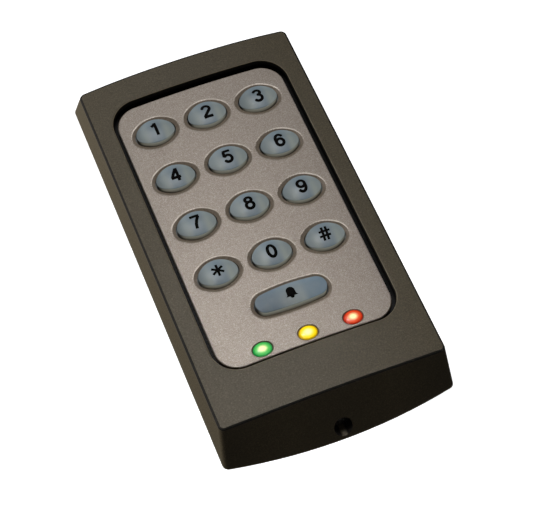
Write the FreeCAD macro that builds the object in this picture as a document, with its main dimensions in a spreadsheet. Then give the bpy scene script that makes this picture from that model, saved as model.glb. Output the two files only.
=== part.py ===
import FreeCAD, Part
import math
import os

import Sketcher
from FreeCAD import Placement, Rotation, Vector

# A wall-mounted keypad access reader: a crowned cover over a boxed reader module, with a silvered
# fascia, thirteen sprung keys, three indicator lenses, a board and a wall plate.
# The back of the wall plate is z = 0, the face looks along +Z, and +Y is the reader's top.

doc = FreeCAD.newDocument("keypad_access_reader")
sheet = doc.addObject("Spreadsheet::Sheet", "sizes")

SIZES = [
    # the cover, in millimetres
    ("body_length", 151.0),        # overall, at the back edge
    ("body_width", 76.2),          # overall, at the back edge
    ("body_height", 17.07),        # wall to the crown of the face
    ("crown_rise", 2.16),          # the face's middle above its two long edges
    ("side_draft", 1.36),          # how far each long side leans in, back to face
    ("end_set_back", 5.9),         # how far each end leans in, back to face
    ("back_bulge", 4.0),           # bow of the ends at the back edge
    ("face_bulge", 1.6),           # bow of the ends at the face
    ("corner_radius", 2.0),
    ("face_edge_radius", 0.8),
    ("wall", 2.0),
    ("skin", 2.0),                 # cover thickness at the face
    ("window_radius", 9.0),
    ("window_edge_radius", 0.45),
    ("fascia_gap", 1.42),          # between the fascia and the window's wall
    ("fascia_recess", 2.06),       # fascia below the face
    ("fit_clearance", 0.3),        # between the cover and what slides inside it
    # the keys and the fascia
    ("key_width", 13.1),
    ("key_length", 9.1),
    ("key_end_radius", 3.3),
    ("bell_width", 23.6),
    ("bell_length", 7.8),
    ("bell_end_radius", 3.4),
    ("key_clearance", 0.35),
    ("key_rim", 1.25),             # width of the dished rim round each key hole
    ("key_rim_depth", 0.5),
    ("key_lip_radius", 1.2),       # rounding where a dished rim meets the face
    ("land_across", 1.7),          # flat between two key rims, along X
    ("land_along", 6.85),          # flat between two key rims, along Y
    ("bell_land", 4.4),            # flat between the last row's rims and the bell key's rim
    ("key_proud", 1.9),            # a key's top above the fascia
    ("key_dome_across", 14.0),     # radius of a key's top, seen from its end
    ("key_dome_along", 13.0),      # radius of a key's top, seen from its side
    ("bell_dome_along", 95.0),
    ("key_edge_radius", 0.35),
    ("key_flange", 0.9),           # how far the flange stands out round a key
    ("key_flange_depth", 1.0),
    ("key_post_radius", 3.0),
    ("key_rest_gap", 0.05),        # flange below the fascia when the key is up
    ("lens_width", 6.0),
    ("lens_length", 4.4),
    ("lens_end_radius", 1.9),
    ("lens_clearance", 0.15),
    ("lens_rim", 0.5),
    ("lens_pitch", 14.9),
    ("lens_land", 5.3),            # flat between the bell key's rim and the lenses' rims
    ("lens_proud", 0.3),
    ("lens_dome_radius", 9.0),
    ("lens_flange", 0.6),
    ("lens_flange_depth", 1.1),
    ("lens_stem_inset", 0.8),      # the stem below the flange is this much smaller all round
    ("lens_stem_length", 2.5),
    ("fascia_side_margin", 2.81),  # outer key rims to the fascia's long edges
    ("fascia_top_margin", 6.2),    # top rims to the fascia's top edge
    ("fascia_foot_margin", 0.55),  # lens rims to the fascia's bottom edge
    ("fascia_lift", 3.4),          # middle of the window above the middle of the cover
    ("fascia_skin", 2.4),
    ("fascia_depth", 3.0),         # depth of the fascia's raised part
    ("fascia_edge_radius", 0.4),
    ("fascia_ledge", 2.6),         # the ledge round the fascia, under the cover
    ("fascia_ledge_depth", 1.6),
    # the module
    ("plate_thickness", 2.0),      # wall plate
    ("seal_thickness", 0.8),
    ("board_space", 3.0),          # under the board
    ("board_thickness", 1.6),
    ("board_clearance", 0.4),
    ("mat_thickness", 1.2),
    ("mat_margin", 1.0),           # mat beyond the key flanges
    ("dome_height", 1.8),
    ("dome_foot_radius", 4.9),
    ("dome_top_radius", 3.2),
    ("dome_wall", 0.6),
    ("chassis_wall", 1.6),
    ("chassis_deck", 1.2),
    ("chassis_side", 1.4),         # chassis beyond the fascia's raised part, each side
    ("chassis_foot", 13.1),        # chassis beyond the fascia's raised part, at the wiring end
    ("chassis_head", 6.2),         # chassis beyond the fascia's raised part, at the top
    ("chassis_radius", 3.0),
    ("post_radius", 2.6),
    ("screw_radius", 1.25),
    ("screw_head_radius", 2.4),
    ("screw_head_depth", 1.3),
    ("screw_hold", 5.0),           # length of thread in a post
    ("screw_clearance", 0.15),
    ("thread_gap", 0.05),          # between a thread and what it turns in
    ("drive_width", 0.6),          # the slot or cross in a screw's head
    ("drive_reach", 1.4),
    ("board_screw_reach", 21.6),   # board screws from the centre line
    ("board_screw_inset", 3.3),    # board screws from the board's ends
    ("cable_inset", 4.2),          # cable entry from the board's wiring end
    ("board_screw_head", 1.4),
    ("board_head_radius", 2.05),
    ("board_boss_radius", 2.3),
    ("terminal_width", 10.7),
    ("terminal_depth", 6.4),
    ("terminal_height", 6.2),
    ("terminal_offset", 7.2),      # centre line to the near side of a terminal block
    ("terminal_ways", 4),
    ("terminal_screw_radius", 0.95),
    ("terminal_screw_depth", 1.2),
    ("terminal_well_depth", 1.8),
    ("terminal_slot_width", 0.4),
    ("cable_radius", 2.4),
    ("grommet_wall", 1.0),
    ("grommet_flange", 0.8),
    ("grommet_flange_depth", 1.2),
    ("lamp_length", 2.0),
    ("lamp_width", 1.2),
    ("lamp_depth", 0.9),
    ("indicator_length", 3.0),     # the larger lamps under the lenses
    ("chip_depth", 1.4),
    ("processor_size", 10.0),
    ("processor_reach", 12.0),     # chips from the centre line
    ("radio_size", 5.0),
    ("buzzer_radius", 6.0),
    ("buzzer_depth", 2.6),
    ("can_radius", 2.0),
    ("can_pitch", 5.0),
    ("coil_width", 2.0),
    ("coil_depth", 0.9),
    ("coil_inset", 0.8),
    # fixings at the two ends
    ("wall_hole_radius", 2.25),
    ("wall_hole_reach", 22.0),     # wall holes from the centre line
    ("wall_hole_inset", 10.0),     # wall holes from the ends of the reader
    ("cover_screw_height", 4.0),
    ("cover_hole_radius", 3.0),
    ("cover_head_radius", 2.7),
    ("cover_head_depth", 1.9),
    ("cover_thread_radius", 1.5),
    ("cover_socket_radius", 1.35),
    ("cover_socket_depth", 1.1),
    ("cover_seat_inset", 6.5),     # seat of the screw's head from the end of the reader
    ("cover_seat_depth", 1.6),
    ("cover_boss_width", 11.0),
    ("cover_boss_height", 8.6),
    ("insert_radius", 2.2),
    ("insert_length", 4.6),
    ("plate_boss_depth", 5.6),
    ("hook_reach", 10.0),          # hooks from the centre line
    ("hook_width", 8.0),
    ("hook_inset", 6.2),
    ("hook_thickness", 1.4),
    ("hook_overlap", 1.5),
    ("hook_gap", 0.2),
    ("hook_lift", 1.0),            # cover hooks above the wall plate
]


class Size:
    """A length that carries its number and the expression that gives it in the document."""

    def __init__(self, text, number):
        self.text = text
        self.number = number

    def combine(self, other, sign, swap=False):
        other = as_size(other)
        left, right = (other, self) if swap else (self, other)
        numbers = {
            "+": lambda p, q: p + q,
            "-": lambda p, q: p - q,
            "*": lambda p, q: p * q,
            "/": lambda p, q: p / q,
        }
        return Size(f"({left.text} {sign} {right.text})", numbers[sign](left.number, right.number))

    def __add__(self, other):
        return self.combine(other, "+")

    def __radd__(self, other):
        return self.combine(other, "+", swap=True)

    def __sub__(self, other):
        return self.combine(other, "-")

    def __rsub__(self, other):
        return self.combine(other, "-", swap=True)

    def __mul__(self, other):
        return self.combine(other, "*")

    def __rmul__(self, other):
        return self.combine(other, "*", swap=True)

    def __truediv__(self, other):
        return self.combine(other, "/")

    def __neg__(self):
        return self * -1


def as_size(thing):
    return thing if isinstance(thing, Size) else Size(f"({thing})", float(thing))


def root(size):
    return Size(f"sqrt({size.text})", math.sqrt(size.number))


def fill_sheet():
    """Write the driving sizes into the sheet and hand them back by name."""
    named = {}
    for row, (name, number) in enumerate(SIZES, start=1):
        sheet.set(f"A{row}", name)
        sheet.set(f"B{row}", str(number))
        sheet.setAlias(f"B{row}", name)
        named[name] = Size(f"sizes.{name}", float(number))
    doc.recompute()
    return named


S = fill_sheet()


# ---- drawing helpers ---------------------------------------------------------------------------

def bind(obj, prop, size):
    obj.setExpression(prop, as_size(size).text)


def put(obj, x=0, y=0, z=0, rotation=None):
    """Place an object at three sizes."""
    x, y, z = as_size(x), as_size(y), as_size(z)
    obj.Placement = Placement(Vector(x.number, y.number, z.number), rotation or Rotation())
    for axis, size in (("x", x), ("y", y), ("z", z)):
        bind(obj, f".Placement.Base.{axis}", size)
    return obj


def new_body(name):
    body = doc.addObject("PartDesign::Body", name)
    body.Label = name
    return body


def new_sketch(body, name, plane="XY_Plane", offset=0):
    """A sketch on one of the body's own origin planes, or parallel to it."""
    sketch = body.newObject("Sketcher::SketchObject", name)
    support = [f for f in body.Origin.OriginFeatures if f.Role == plane][0]
    sketch.AttachmentSupport = [(support, "")]
    sketch.MapMode = "FlatFace"
    offset = as_size(offset)
    sketch.AttachmentOffset = Placement(Vector(0, 0, offset.number), Rotation())
    bind(sketch, ".AttachmentOffset.Base.z", offset)
    return sketch


def pin_point(sketch, geometry, position, x, y):
    """Hold a point at two sizes from the sketch's origin."""
    for kind, size in (("DistanceX", as_size(x)), ("DistanceY", as_size(y))):
        index = sketch.addConstraint(Sketcher.Constraint(kind, -1, 1, geometry, position, size.number))
        bind(sketch, f"Constraints[{index}]", size)


def draw_outline(sketch, points):
    """Draw a closed outline. Each point is (x, y) or (x, y, radius): with a radius, an arc of that
    radius, bowed to the right of the way round, leads to the next point. A negative radius bows
    the arc to the left."""
    corners = [(as_size(p[0]), as_size(p[1])) for p in points]
    radii = [as_size(p[2]) if len(p) > 2 else None for p in points]
    count = len(points)
    first = sketch.GeometryCount
    starts = []
    for i in range(count):
        x0, y0 = corners[i][0].number, corners[i][1].number
        x1, y1 = corners[(i + 1) % count][0].number, corners[(i + 1) % count][1].number
        start, end = Vector(x0, y0, 0), Vector(x1, y1, 0)
        if radii[i] is None:
            sketch.addGeometry(Part.LineSegment(start, end))
            starts.append((1, 2))
            continue
        radius = abs(radii[i].number)
        chord = end - start
        half = chord.Length / 2
        sagitta = radius - math.sqrt(max(radius**2 - half**2, 0.0))
        side = Vector(chord.y, -chord.x, 0).normalize()
        if radii[i].number < 0:
            side = side * -1
        sketch.addGeometry(Part.Arc(start, (start + end) * 0.5 + side * sagitta, end))
        arc = sketch.Geometry[first + i]
        forward = arc.StartPoint.distanceToPoint(start) < arc.EndPoint.distanceToPoint(start)
        starts.append((1, 2) if forward else (2, 1))
    for i in range(count):
        after = (i + 1) % count
        sketch.addConstraint(
            Sketcher.Constraint("Coincident", first + i, starts[i][1], first + after, starts[after][0])
        )
    for i in range(count):
        pin_point(sketch, first + i, starts[i][0], *corners[i])
    for i in range(count):
        if radii[i] is not None:
            size = radii[i] if radii[i].number > 0 else -radii[i]
            index = sketch.addConstraint(Sketcher.Constraint("Radius", first + i, size.number))
            bind(sketch, f"Constraints[{index}]", size)


def draw_box(sketch, x0, x1, y0, y1):
    draw_outline(sketch, [(x0, y0), (x1, y0), (x1, y1), (x0, y1)])


def draw_round_box(sketch, x0, x1, y0, y1, r):
    """A rectangle with four rounded corners."""
    draw_outline(
        sketch,
        [
            (x0 + r, y0), (x1 - r, y0, r), (x1, y0 + r), (x1, y1 - r, r),
            (x1 - r, y1), (x0 + r, y1, r), (x0, y1 - r), (x0, y0 + r, r),
        ],
    )


def draw_oval(sketch, width, length, end_radius, x=0, y=0):
    """A four-arc oval: two end arcs and two flatter arcs that meet them smoothly."""
    reach = width / 2 - end_radius
    spare = length / 2 - end_radius
    drop = (reach * reach - spare * spare) / (2 * spare)
    flat_radius = length / 2 + drop
    centres = root(reach * reach + drop * drop)
    px = reach + end_radius * reach / centres
    py = end_radius * drop / centres
    draw_outline(
        sketch,
        [
            (x + px, y - py, end_radius), (x + px, y + py, flat_radius),
            (x - px, y + py, end_radius), (x - px, y - py, flat_radius),
        ],
    )


def draw_circle(sketch, radius, x=0, y=0):
    radius, x, y = as_size(radius), as_size(x), as_size(y)
    index = sketch.addGeometry(Part.Circle(Vector(x.number, y.number, 0), Vector(0, 0, 1), radius.number))
    pin_point(sketch, index, 3, x, y)
    constraint = sketch.addConstraint(Sketcher.Constraint("Radius", index, radius.number))
    bind(sketch, f"Constraints[{constraint}]", radius)


def pad(body, sketch, name, depth, both_ways=False, down=False):
    feature = body.newObject("PartDesign::Pad", name)
    feature.Profile = sketch
    bind(feature, "Length", depth)
    feature.Length = as_size(depth).number
    feature.SideType = "Symmetric" if both_ways else "One side"
    feature.Reversed = down
    return feature


def pocket(body, sketch, name, depth, both_ways=False, up=True):
    """Cut a pocket, upwards from the sketch unless told otherwise."""
    feature = body.newObject("PartDesign::Pocket", name)
    feature.Profile = sketch
    bind(feature, "Length", depth)
    feature.Length = as_size(depth).number
    feature.SideType = "Symmetric" if both_ways else "One side"
    feature.Reversed = up
    return feature


def pad_from(body, name, low, high, draw):
    """Pad what draw(sketch) draws, from one height to another."""
    sketch = new_sketch(body, f"{name}_outline", offset=low)
    draw(sketch)
    return pad(body, sketch, name, high - low)


def cut_from(body, name, low, high, draw):
    """Cut what draw(sketch) draws, from one height to another."""
    sketch = new_sketch(body, f"{name}_outline", offset=low)
    draw(sketch)
    before = solid_volume(body)
    feature = pocket(body, sketch, name, high - low)
    if solid_volume(body) >= before:
        raise ValueError(f"{body.Label}: {name} cuts nothing")
    return feature


def solid_volume(body):
    doc.recompute()
    return body.Shape.Volume


def pick_edges(body, name, choose):
    """The names of the edges of the body so far that choose(edge) picks."""
    doc.recompute()
    names = [f"Edge{i}" for i, edge in enumerate(body.Tip.Shape.Edges, start=1) if choose(edge)]
    if not names:
        raise ValueError(f"{body.Label}: {name} has no edges to work on")
    return names


def fillet(body, name, radius, choose):
    """Round the edges that choose(edge) picks."""
    names = pick_edges(body, name, choose)
    base = body.Tip
    feature = body.newObject("PartDesign::Fillet", name)
    feature.Base = (base, names)
    bind(feature, "Radius", radius)
    feature.Radius = as_size(radius).number
    doc.recompute()
    return feature


def chamfer(body, name, across, down, choose):
    """Bevel the edges that choose(edge) picks, so far across the face and so far down the wall."""
    names = pick_edges(body, name, choose)
    base = body.Tip
    feature = body.newObject("PartDesign::Chamfer", name)
    feature.Base = (base, names)
    feature.ChamferType = "Two distances"
    bind(feature, "Size", across)
    bind(feature, "Size2", down)
    feature.Size = as_size(across).number
    feature.Size2 = as_size(down).number
    doc.recompute()
    return feature


def revolve(body, sketch, name, groove=False, axis="V_Axis"):
    kind = "PartDesign::Groove" if groove else "PartDesign::Revolution"
    feature = body.newObject(kind, name)
    feature.Profile = sketch
    feature.ReferenceAxis = (sketch, [axis])
    feature.Angle = 360.0
    return feature


def primitive_box(name, x0, x1, y0, y1, z0, z1):
    box = doc.addObject("Part::Box", name)
    bind(box, "Length", x1 - x0)
    bind(box, "Width", y1 - y0)
    bind(box, "Height", z1 - z0)
    return put(box, x0, y0, z0)


def primitive_cylinder(name, radius, depth, x=0, y=0, z=0, rotation=None):
    cylinder = doc.addObject("Part::Cylinder", name)
    bind(cylinder, "Radius", radius)
    bind(cylinder, "Height", depth)
    return put(cylinder, x, y, z, rotation)


def join(name, shapes):
    fused = doc.addObject("Part::MultiFuse", name)
    fused.Shapes = shapes
    fused.Refine = True
    return fused


def meet(name, shapes):
    common = doc.addObject("Part::MultiCommon", name)
    common.Shapes = shapes
    return common


def cut(name, base, tool):
    result = doc.addObject("Part::Cut", name)
    result.Base = base
    result.Tool = tool
    return result


def gather(name, shapes):
    """Keep identical loose pieces, such as screws, as one group of separate solids."""
    group = doc.addObject("Part::Compound", name)
    group.Links = shapes
    return group


PARTS = []


def keep(obj, label):
    obj.Label = label
    PARTS.append(obj)
    return obj


# ---- places worked out from the sizes ----------------------------------------------------------

key_hole_width = S["key_width"] + 2 * S["key_clearance"]
key_hole_length = S["key_length"] + 2 * S["key_clearance"]
key_rim_width = key_hole_width + 2 * S["key_rim"]
key_rim_length = key_hole_length + 2 * S["key_rim"]
bell_hole_length = S["bell_length"] + 2 * S["key_clearance"]
bell_rim_length = bell_hole_length + 2 * S["key_rim"]
lens_hole_width = S["lens_width"] + 2 * S["lens_clearance"]
lens_hole_length = S["lens_length"] + 2 * S["lens_clearance"]
lens_rim_length = lens_hole_length + 2 * S["lens_rim"]

pitch_across = key_rim_width + S["land_across"]
pitch_along = key_rim_length + S["land_along"]

fascia_width = 2 * pitch_across + key_rim_width + 2 * S["fascia_side_margin"]
fascia_length = (
    S["fascia_top_margin"] + 3 * pitch_along + key_rim_length + S["bell_land"] + bell_rim_length
    + S["lens_land"] + lens_rim_length + S["fascia_foot_margin"]
)
fascia_low = S["fascia_lift"] - fascia_length / 2
fascia_high = S["fascia_lift"] + fascia_length / 2
row_y = [fascia_high - S["fascia_top_margin"] - key_rim_length / 2 - row * pitch_along for row in range(4)]
column_x = [-pitch_across, as_size(0), pitch_across]
bell_y = row_y[3] - key_rim_length / 2 - S["bell_land"] - bell_rim_length / 2
lens_y = bell_y - bell_rim_length / 2 - S["lens_land"] - lens_rim_length / 2

crown_half = S["body_width"] / 2 - S["side_draft"]
crown_radius = (crown_half * crown_half + S["crown_rise"] * S["crown_rise"]) / (2 * S["crown_rise"])
edge_height = S["body_height"] - S["crown_rise"]
fascia_top = S["body_height"] - S["fascia_recess"]
fascia_crown = crown_radius - S["fascia_recess"]

ledge_top = fascia_top - S["fascia_depth"]
deck_top = ledge_top - S["fascia_ledge_depth"]
deck_under = deck_top - S["chassis_deck"]
board_under = S["plate_thickness"] + S["board_space"]
board_top = board_under + S["board_thickness"]
mat_top = board_top + S["mat_thickness"]
dome_top = mat_top + S["dome_height"]
key_ceiling = fascia_top - S["fascia_skin"]
flange_top = key_ceiling - S["key_rest_gap"]
flange_under = flange_top - S["key_flange_depth"]

chassis_half = fascia_width / 2 + S["chassis_side"] + S["fascia_ledge"]
chassis_low = fascia_low - S["chassis_foot"]
chassis_high = fascia_high + S["chassis_head"]
chassis_inner = chassis_half - S["chassis_wall"]
post_inset = S["post_radius"] + S["fit_clearance"]
post_x = chassis_inner - post_inset
post_low = chassis_low + S["chassis_wall"] + post_inset
post_high = chassis_high - S["chassis_wall"] - post_inset
post_places = [(-post_x, post_low), (post_x, post_low), (-post_x, post_high), (post_x, post_high)]

board_half = chassis_inner - S["board_clearance"]
board_low = chassis_low + S["chassis_wall"] + S["board_clearance"]
board_high = chassis_high - S["chassis_wall"] - S["board_clearance"]
board_screw_low = board_low + S["board_screw_inset"]
board_screw_high = board_high - S["board_screw_inset"]
board_screw_places = [
    (side * S["board_screw_reach"], y) for y in (board_screw_low, board_screw_high) for side in (-1, 1)
]
cable_y = board_low + S["cable_inset"]
notch_high = cable_y + S["cable_radius"] + S["grommet_wall"] + S["grommet_flange"] + S["board_clearance"]
notch_half = notch_high - cable_y + 2 * S["board_clearance"]

key_flange_half_width = S["key_width"] / 2 + S["key_flange"]
key_flange_half_length = S["key_length"] / 2 + S["key_flange"]
mat_half = pitch_across + key_flange_half_width + S["mat_margin"]
mat_low = bell_y - S["bell_length"] / 2 - S["key_flange"] - S["mat_margin"]
mat_high = row_y[0] + key_flange_half_length + S["mat_margin"]


def crown_drop(x, radius):
    """How far a crowned surface has fallen at a distance x from its middle line."""
    x = as_size(x)
    return radius - root(radius * radius - x * x)


# ---- the cover and the wall plate --------------------------------------------------------------

def draw_body_outline(sketch, height, inset):
    """The reader's outline at a height: straight sides and bowed ends, moved in by an inset."""
    share = height / edge_height
    half_width = S["body_width"] / 2 - inset - S["side_draft"] * share
    half_length = S["body_length"] / 2 - S["back_bulge"] - inset - S["end_set_back"] * share
    bulge = S["back_bulge"] - (S["back_bulge"] - S["face_bulge"]) * share
    radius = (half_width * half_width + bulge * bulge) / (2 * bulge)
    draw_outline(
        sketch,
        [
            (-half_width, -half_length, radius), (half_width, -half_length),
            (half_width, half_length, radius), (-half_width, half_length),
        ],
    )


def body_form(name, inset, low, high):
    """A solid that follows the reader's leaning sides and ends between two heights."""
    body = new_body(name)
    low, high, inset = as_size(low), as_size(high), as_size(inset)
    lower = new_sketch(body, f"{name}_lower", offset=low)
    draw_body_outline(lower, low, inset)
    upper = new_sketch(body, f"{name}_upper", offset=high)
    draw_body_outline(upper, high, inset)
    loft = body.newObject("PartDesign::AdditiveLoft", f"{name}_loft")
    loft.Profile = lower
    loft.Sections = [upper]
    loft.Ruled = True
    doc.recompute()
    return body


def crown(body, top, radius, half_width, length):
    """Cut away what stands above a cylinder that lies along Y."""
    sketch = new_sketch(body, "crown_outline", plane="XZ_Plane")
    side = top - crown_drop(half_width, radius)
    above = top + S["crown_rise"]
    draw_outline(
        sketch,
        [(half_width, side, radius), (-half_width, side), (-half_width, above), (half_width, above)],
    )
    before = solid_volume(body)
    feature = pocket(body, sketch, "crown", length, both_ways=True)
    if solid_volume(body) >= before:
        raise ValueError(f"{body.Label}: the crown cuts nothing")
    return feature


def window_box(margin):
    """The window's limits, moved out from the fascia's raised part by a margin."""
    half = fascia_width / 2 + margin
    return -half, half, fascia_low - margin, fascia_high + margin


def rises(edge, least):
    heights = [vertex.Point.z for vertex in edge.Vertexes]
    return max(heights) - min(heights) > least


def make_front_cover():
    outer = body_form("cover_form", 0, 0, S["body_height"])
    reach = S["body_width"] / 2 + S["corner_radius"]
    crown(outer, S["body_height"], crown_radius, reach, S["body_length"] + 2 * S["wall"])
    face = edge_height.number - S["face_edge_radius"].number
    fillet(outer, "corners", S["corner_radius"], lambda edge: rises(edge, edge_height.number / 2))
    fillet(outer, "face_edge", S["face_edge_radius"], lambda edge: edge.BoundBox.ZMin > face)
    window_radius = S["window_radius"]
    cut_from(
        outer, "window", edge_height - 2 * S["skin"], S["body_height"] + S["skin"],
        lambda sketch: draw_round_box(sketch, *window_box(S["fascia_gap"]), window_radius),
    )
    half = (fascia_width / 2 + S["fascia_gap"]).number
    ends = (fascia_high + S["fascia_gap"]).number
    slack = 0.05
    fillet(
        outer, "window_edge", S["window_edge_radius"],
        lambda edge: edge.BoundBox.ZMin > face
        and max(abs(edge.BoundBox.XMax), abs(edge.BoundBox.XMin)) < half + slack
        and edge.BoundBox.YMax < ends + slack
        and not rises(edge, S["crown_rise"].number),
    )
    hollow = body_form("cover_hollow", S["wall"], 0, S["body_height"] - S["skin"])
    crown(
        hollow, S["body_height"] - S["skin"], crown_radius - S["skin"],
        S["body_width"] / 2, S["body_length"],
    )
    shell = cut("cover_shell", outer, hollow)

    end = S["body_length"] / 2
    boss_half = S["cover_boss_width"] / 2
    seat = -end + S["cover_seat_inset"]
    boss = meet("cover_boss", [
        primitive_box(
            "cover_boss_block", -boss_half, boss_half, -end, seat + S["cover_seat_depth"],
            S["fit_clearance"], S["cover_boss_height"],
        ),
        outer,
    ])
    hooks = []
    hook_low = S["plate_thickness"] + S["hook_lift"]
    for side, word in ((-1, "left"), (1, "right")):
        middle = side * S["hook_reach"]
        half_hook = S["hook_width"] / 2 - S["hook_gap"]
        block = primitive_box(
            f"cover_hook_{word}_block", middle - half_hook, middle + half_hook,
            end - S["hook_inset"] - S["hook_overlap"], end, hook_low, hook_low + S["hook_thickness"],
        )
        hooks.append(meet(f"cover_hook_{word}", [block, outer]))
    solid = join("cover_solid", [shell, boss] + hooks)
    along = Rotation(Vector(1, 0, 0), -90)
    access = primitive_cylinder(
        "cover_access", S["cover_hole_radius"], S["cover_seat_inset"] + S["wall"],
        0, -end - S["wall"], S["cover_screw_height"], along,
    )
    passage = primitive_cylinder(
        "cover_passage", S["cover_thread_radius"] + S["screw_clearance"], 3 * S["cover_seat_depth"],
        0, seat - S["cover_seat_depth"], S["cover_screw_height"], along,
    )
    keep(cut("cover_finished", solid, join("cover_bores", [access, passage])), "front_cover")


def screw_place(name, place, low, high, radius):
    """An upright cylinder at a place, between two heights."""
    return primitive_cylinder(name, radius, high - low, place[0], place[1], low)


def make_back_plate():
    body = body_form("plate_form", S["wall"] + S["fit_clearance"], 0, S["plate_thickness"])
    wall_y = S["body_length"] / 2 - S["wall_hole_inset"]

    def draw_holes(sketch):
        for x in (-S["wall_hole_reach"], S["wall_hole_reach"]):
            for y in (-wall_y, wall_y):
                draw_circle(sketch, S["wall_hole_radius"], x, y)
        draw_circle(sketch, S["cable_radius"] + S["grommet_wall"], 0, cable_y)
        for x, y in post_places:
            draw_circle(sketch, S["screw_radius"] + S["screw_clearance"], x, y)

    cut_from(body, "holes", as_size(0), S["plate_thickness"], draw_holes)
    sinks = []
    for i, place in enumerate(post_places, start=1):
        cone = doc.addObject("Part::Cone", f"countersink_{i}")
        bind(cone, "Radius1", S["screw_head_radius"] + S["screw_clearance"])
        bind(cone, "Radius2", S["screw_radius"] + S["screw_clearance"])
        bind(cone, "Height", S["screw_head_depth"] + S["screw_clearance"])
        sinks.append(put(cone, place[0], place[1], 0))

    end = S["body_length"] / 2
    half = S["cover_boss_width"] / 2 - S["fit_clearance"]
    near = -end + S["cover_seat_inset"] + S["cover_seat_depth"] + S["hook_gap"]
    boss = primitive_box(
        "plate_boss", -half, half, near, near + S["plate_boss_depth"],
        S["plate_thickness"] / 2, S["cover_boss_height"],
    )
    bore = primitive_cylinder(
        "plate_boss_bore", S["insert_radius"], S["insert_length"], 0, near, S["cover_screw_height"],
        Rotation(Vector(1, 0, 0), -90),
    )
    relief = primitive_cylinder(
        "plate_boss_relief", S["cover_thread_radius"] + S["screw_clearance"], S["plate_boss_depth"] * 2,
        0, near, S["cover_screw_height"], Rotation(Vector(1, 0, 0), -90),
    )
    notch_half = S["cover_boss_width"] / 2 + S["fit_clearance"]
    notch = primitive_box(
        "plate_notch", -notch_half, notch_half, -end, near, as_size(0), S["plate_thickness"]
    )
    lugs = []
    hook_top = S["plate_thickness"] + S["hook_lift"] + S["hook_thickness"] + S["hook_gap"]
    lug_high = end - S["hook_inset"]
    lug_low = lug_high - S["hook_overlap"] - S["hook_gap"]
    for side, word in ((-1, "left"), (1, "right")):
        middle = side * S["hook_reach"]
        lugs.append(primitive_box(
            f"lug_{word}", middle - S["hook_width"] / 2, middle + S["hook_width"] / 2,
            lug_low - S["hook_thickness"], lug_low, S["plate_thickness"] / 2, hook_top,
        ))
        lugs.append(primitive_box(
            f"lug_bar_{word}", middle - S["hook_width"] / 2, middle + S["hook_width"] / 2,
            lug_low - S["hook_thickness"], lug_high, hook_top, hook_top + S["hook_thickness"],
        ))
    solid = join("plate_solid", [body, boss] + lugs)
    keep(cut("plate_finished", solid, join("plate_bores", [bore, relief, notch] + sinks)), "back_plate")


def make_screw_insert():
    """The knurled brass nut that the cover screw turns into, set in the wall plate's boss."""
    near = -S["body_length"] / 2 + S["cover_seat_inset"] + S["cover_seat_depth"] + S["hook_gap"]
    along = Rotation(Vector(1, 0, 0), -90)
    body = primitive_cylinder(
        "insert_body", S["insert_radius"] - S["thread_gap"], S["insert_length"] - S["hook_gap"],
        0, near + S["hook_gap"], S["cover_screw_height"], along,
    )
    thread = primitive_cylinder(
        "insert_thread", S["cover_thread_radius"] + S["thread_gap"], S["insert_length"] * 2,
        0, near, S["cover_screw_height"], along,
    )
    keep(cut("insert_finished", body, thread), "screw_insert")


def make_cover_screw():
    """A cap screw that lies along Y, its head in the cover's bottom hole."""
    seat = -S["body_length"] / 2 + S["cover_seat_inset"]
    along = Rotation(Vector(1, 0, 0), -90)
    height = S["cover_screw_height"]
    head = primitive_cylinder(
        "cover_screw_head", S["cover_head_radius"], S["cover_head_depth"],
        0, seat - S["cover_head_depth"], height, along,
    )
    shank_length = S["cover_seat_depth"] + S["plate_boss_depth"]
    shank = primitive_cylinder(
        "cover_screw_shank", S["cover_thread_radius"], shank_length + S["cover_head_depth"] / 2,
        0, seat - S["cover_head_depth"] / 2, height, along,
    )
    socket = doc.addObject("Part::Prism", "cover_screw_socket")
    socket.Polygon = 6
    bind(socket, "Circumradius", S["cover_socket_radius"])
    bind(socket, "Height", S["cover_socket_depth"])
    put(socket, 0, seat - S["cover_head_depth"], height, along)
    keep(cut("cover_screw_finished", join("cover_screw_solid", [head, shank]), socket), "cover_screw")


def make_chassis_screws():
    """Four countersunk screws, driven from the wall side into the chassis posts."""
    screws = []
    length = S["screw_hold"] + S["plate_thickness"] - 2 * S["screw_clearance"]
    slot_half = S["drive_reach"]
    slot_side = S["drive_width"] / 2
    slot_top = S["screw_clearance"] + S["screw_head_depth"] / 2
    for i, (x, y) in enumerate(post_places, start=1):
        head = doc.addObject("Part::Cone", f"chassis_screw_head_{i}")
        bind(head, "Radius1", S["screw_head_radius"])
        bind(head, "Radius2", S["screw_radius"])
        bind(head, "Height", S["screw_head_depth"])
        put(head, x, y, S["screw_clearance"])
        shank = primitive_cylinder(
            f"chassis_screw_shank_{i}", S["screw_radius"], length, x, y, S["screw_clearance"]
        )
        slots = [
            primitive_box(f"chassis_screw_slot_{i}", x - slot_half, x + slot_half,
                          y - slot_side, y + slot_side, as_size(0), slot_top),
            primitive_box(f"chassis_screw_cross_{i}", x - slot_side, x + slot_side,
                          y - slot_half, y + slot_half, as_size(0), slot_top),
        ]
        solid = join(f"chassis_screw_solid_{i}", [head, shank])
        screws.append(cut(f"chassis_screw_{i}", solid, join(f"chassis_screw_recess_{i}", slots)))
    keep(gather("chassis_screw_group", screws), "chassis_screws")


def make_rear_seal():
    """A flat rubber ring between the wall plate and the chassis's rim."""
    body = new_body("seal_form")
    low, high = S["plate_thickness"], S["plate_thickness"] + S["seal_thickness"]
    inset = S["chassis_wall"]
    radius = S["chassis_radius"]
    pad_from(body, "ring", low, high, lambda sketch: draw_round_box(
        sketch, -chassis_half, chassis_half, chassis_low, chassis_high, radius
    ))
    cut_from(body, "middle", low, high, lambda sketch: draw_round_box(
        sketch, -chassis_inner, chassis_inner, chassis_low + inset, chassis_high - inset, radius - inset
    ))
    keep(body, "rear_seal")


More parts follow.
